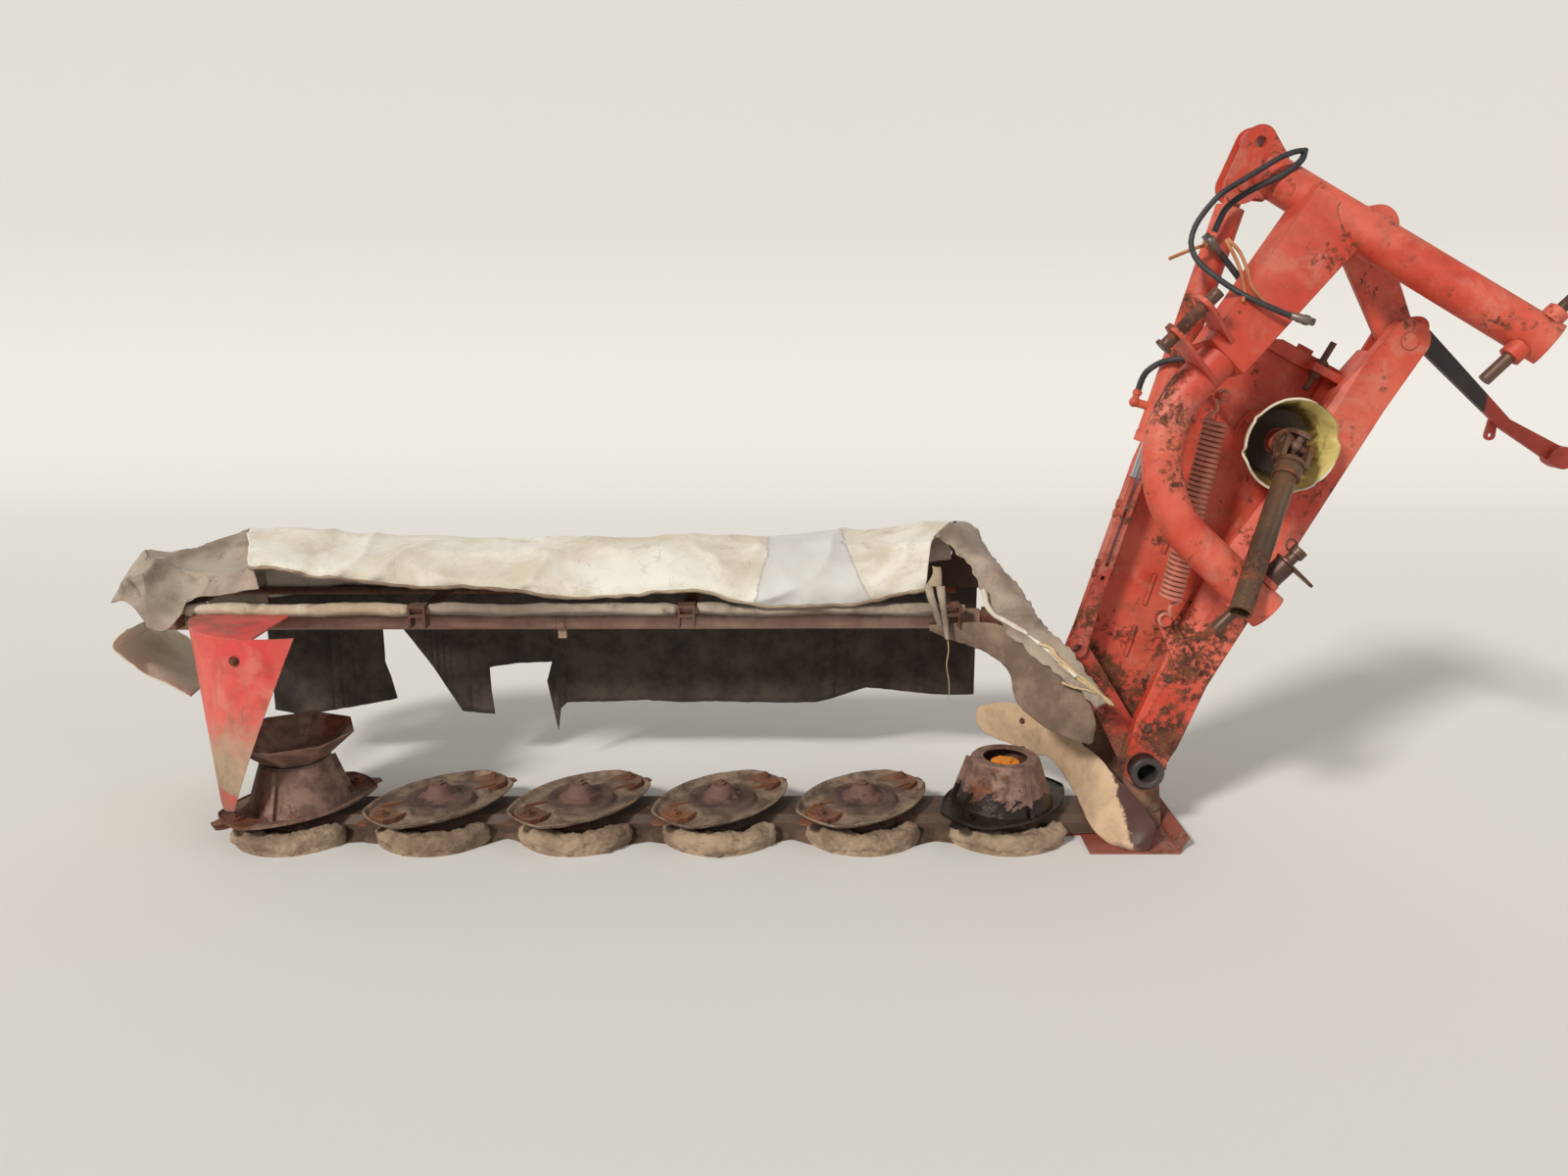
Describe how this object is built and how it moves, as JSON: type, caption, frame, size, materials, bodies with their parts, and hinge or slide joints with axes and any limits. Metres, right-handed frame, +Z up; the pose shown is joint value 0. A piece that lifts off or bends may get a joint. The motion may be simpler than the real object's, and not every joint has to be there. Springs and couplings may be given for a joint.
{
  "type": "disc mower",
  "caption": "Rear-mounted disc mower parked on its cutterbar, with a row of knife discs under a torn canvas guard and a carrying arm folded up beside it.",
  "frame": {"origin": "on the ground, under the middle of the whole machine's box seen from above", "axes": "+X from the outer end to the tractor end along the cutterbar, -Y to the side that faces the tractor, +Z up"},
  "size_m": [4.0639, 0.9249, 1.8773],
  "materials": {
    "bar_casting": "rusty, caked with dry mud",
    "skid_steel": "worn steel under dry mud",
    "red_paint": "sun-faded orange-red paint with rust specks",
    "dusty_sheet": "bare scratched sheet under beige dust",
    "dark_steel": "dark, dull",
    "guard_paint": "faded pinkish paint under dust",
    "rusty_steel": "rusty",
    "faded_sheet": "pale, dusty red paint",
    "leathery_sheet": "dark brown stiff sheet",
    "canvas": "beige canvas bleached by the sun, dirty and wrinkled",
    "apron_rubber": "grey rubbered cloth, torn",
    "disc_steel": "dusty grey-brown with rust",
    "orange_plastic": "matte orange",
    "shield_plastic": "cream outside, yellow inside, stained",
    "pin_steel": "bare steel, a little rust",
    "hose_rubber": "matte black",
    "chrome": "polished rod"
  },
  "bodies": {
    "cutterbar": {"gear_bar": "bar_casting", "skid_shoes": "skid_steel", "inner_shoe": "red_paint", "inner_deflector": "dusty_sheet", "hinge_bracket": "red_paint", "hinge_tube": "dark_steel", "lift_lever": "red_paint", "guard_tube": "guard_paint", "guard_post": "rusty_steel", "cross_bars": "rusty_steel", "front_rail": "guard_paint", "rear_rail": "rusty_steel", "outer_cone": "faded_sheet", "inner_flap": "leathery_sheet", "canvas_top": "canvas", "rear_curtain": "apron_rubber", "canvas_outer": "canvas", "canvas_inner": "canvas"},
    "disc_1": {"rotor_1": "disc_steel"},
    "disc_2": {"rotor_2": "disc_steel"},
    "disc_3": {"rotor_3": "disc_steel"},
    "disc_4": {"rotor_4": "disc_steel"},
    "disc_5": {"rotor_5": "disc_steel"},
    "disc_6": {"rotor_6": "disc_steel", "drum_cap": "orange_plastic"},
    "arm": {"main_beam": "red_paint", "belt_cover": "red_paint", "input_housing": "red_paint", "drive_shield": "shield_plastic", "balance_spring": "red_paint", "belt_tensioner": "rusty_steel", "drive_joint": "rusty_steel"},
    "stand": {"stand_leg": "dark_steel"},
    "headstock": {"mast_tube": "red_paint", "apex_bracket": "red_paint", "cross_box": "red_paint", "curved_leg": "red_paint", "pivot_bracket": "red_paint", "top_link_pin": "pin_steel", "lower_pin_left": "pin_steel", "lower_pin_right": "pin_steel"},
    "barrel": {"cylinder_barrel": "red_paint", "hose": "hose_rubber"},
    "rod": {"cylinder_rod": "chrome", "strap_link": "red_paint"},
    "shaft": {"half_shaft": "rusty_steel"}
  },
  "joints": [
    {"name": "arm_hinge", "type": "hinge", "parent": "cutterbar", "child": "arm", "pos_m": [0.902, -0.0155, 0.208], "axis": [0, -1, 0], "range_deg": [-44, 10]},
    {"name": "headstock_hinge", "type": "hinge", "parent": "arm", "child": "headstock", "pos_m": [1.49842, -0.0155, 1.35861], "axis": [0, -1, 0], "range_deg": [-2, 6]},
    {"name": "cylinder_pivot", "type": "hinge", "parent": "headstock", "child": "barrel", "pos_m": [1.04923, -0.0155, 1.7353], "axis": [0, -1, 0], "range_deg": [-5.1, 1.7]},
    {"name": "rod_slide", "type": "slide", "parent": "barrel", "child": "rod", "axis": [-0.2696, 0, -0.963], "range_m": [-0.032, 0.141]},
    {"name": "stand_hinge", "type": "hinge", "parent": "arm", "child": "stand", "pos_m": [1.56414, 0.0595, 1.38762], "axis": [0, -1, 0], "range_deg": [-62, 0]},
    {"name": "shaft_swing", "type": "hinge", "parent": "arm", "child": "shaft", "pos_m": [1.18836, -0.1805, 1.10595], "axis": [-0.8704, 0, 0.4923], "range_deg": [0, 58]},
    {"name": "disc_1_spin", "type": "hinge", "parent": "cutterbar", "child": "disc_1", "pos_m": [-1.467, -0.0155, 0.086], "axis": [0, 0, 1], "continuous": true},
    {"name": "disc_2_spin", "type": "hinge", "parent": "cutterbar", "child": "disc_2", "pos_m": [-1.067, -0.0155, 0.086], "axis": [0, 0, 1], "continuous": true},
    {"name": "disc_3_spin", "type": "hinge", "parent": "cutterbar", "child": "disc_3", "pos_m": [-0.667, -0.0155, 0.086], "axis": [0, 0, 1], "continuous": true},
    {"name": "disc_4_spin", "type": "hinge", "parent": "cutterbar", "child": "disc_4", "pos_m": [-0.267, -0.0155, 0.086], "axis": [0, 0, 1], "continuous": true},
    {"name": "disc_5_spin", "type": "hinge", "parent": "cutterbar", "child": "disc_5", "pos_m": [0.133, -0.0155, 0.086], "axis": [0, 0, 1], "continuous": true},
    {"name": "disc_6_spin", "type": "hinge", "parent": "cutterbar", "child": "disc_6", "pos_m": [0.533, -0.0155, 0.086], "axis": [0, 0, 1], "continuous": true}
  ],
  "couplings": [
    {"joint": "cylinder_pivot", "follows": "headstock_hinge", "ratio": -0.85},
    {"joint": "rod_slide", "follows": "arm_hinge", "m_per_rad": -0.1833},
    {"joint": "disc_2_spin", "follows": "disc_1_spin", "ratio": -1},
    {"joint": "disc_3_spin", "follows": "disc_1_spin", "ratio": 1},
    {"joint": "disc_4_spin", "follows": "disc_1_spin", "ratio": -1},
    {"joint": "disc_5_spin", "follows": "disc_1_spin", "ratio": 1},
    {"joint": "disc_6_spin", "follows": "disc_1_spin", "ratio": -1}
  ]
}
